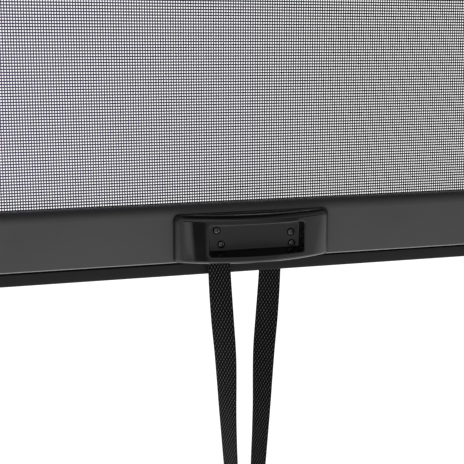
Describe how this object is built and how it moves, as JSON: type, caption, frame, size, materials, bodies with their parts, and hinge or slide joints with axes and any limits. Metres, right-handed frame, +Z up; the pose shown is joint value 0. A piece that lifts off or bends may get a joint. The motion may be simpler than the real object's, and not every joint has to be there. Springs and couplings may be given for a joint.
{
  "type": "retractable roller screen",
  "caption": "Retractable woven roller screen with a spring cassette, side rails, a handled bottom bar and a webbing pull strap.",
  "frame": {"origin": "centre of the cassette's flat back face, on the mounting plane", "axes": "+X along the cassette towards the viewer's right, +Y into the wall or frame behind, +Z up; the front faces -Y"},
  "size_m": [1.2, 0.058, 1.0922],
  "materials": {
    "powder_coat": "extruded aluminium with a fine satin powder coat, dark grey",
    "black_plastic": "fine moulded grain",
    "zinc_screw": "bright zinc",
    "black_screw": "black zinc, slightly worn at the recess",
    "pile": "short upright pile",
    "plain_steel": "drawn steel",
    "spring_steel": "oiled spring wire",
    "mill_aluminium": "mill finish",
    "mesh_fabric": "coated open weave",
    "edge_tape": "welded tape",
    "soft_vinyl": "soft",
    "nylon": "natural nylon",
    "magnet_nickel": "nickel plate",
    "seal_rubber": "matt extruded rubber",
    "gloss_black": "polished moulding",
    "webbing": "ribbed woven polyester"
  },
  "bodies": {
    "root": {"cassette_housing": "powder_coat", "cassette_cover": "powder_coat", "end_cap_left": "black_plastic", "end_cap_right": "black_plastic", "cap_screws": "zinc_screw", "exit_brushes": "pile", "spring_shaft": "plain_steel", "torsion_spring": "spring_steel", "shaft_collar": "black_plastic", "idle_pin": "plain_steel", "screen_mesh": "mesh_fabric", "edge_tape_left": "edge_tape", "edge_tape_right": "edge_tape", "rail_left": "powder_coat", "rail_right": "powder_coat", "rail_pile_left": "pile", "rail_pile_right": "pile", "rail_foot_left": "black_plastic", "rail_foot_right": "black_plastic", "foot_screws": "zinc_screw", "striker_plates": "plain_steel"},
    "roller": {"roller_tube": "mill_aluminium", "spring_plug": "black_plastic", "idle_plug": "black_plastic", "fabric_roll": "mesh_fabric", "fabric_spline": "soft_vinyl"},
    "bottom_bar": {"bar_extrusion": "powder_coat", "bar_cap_left": "black_plastic", "bar_cap_right": "black_plastic", "bar_cap_screws": "zinc_screw", "glide_left": "nylon", "glide_right": "nylon", "glide_screws": "zinc_screw", "hold_magnets": "magnet_nickel", "bar_spline": "soft_vinyl", "weight_rod": "plain_steel", "bottom_seal": "seal_rubber", "handle": "gloss_black", "handle_screws": "black_screw", "strap_clamps": "plain_steel", "clamp_screws": "zinc_screw", "pull_strap": "webbing"}
  },
  "joints": [
    {"name": "bar_slide", "type": "slide", "parent": "root", "child": "bottom_bar", "axis": [0, 0, 1], "range_m": [0, 0.65], "deforming": ["screen_mesh", "edge_tape_left", "edge_tape_right"]},
    {"name": "roller_spin", "type": "hinge", "parent": "root", "child": "roller", "pos_m": [0, -0.033, 0], "axis": [1, 0, 0], "range_deg": [0, 2083]}
  ],
  "couplings": [
    {"joint": "roller_spin", "follows": "bar_slide", "rad_per_m": 55.25}
  ]
}
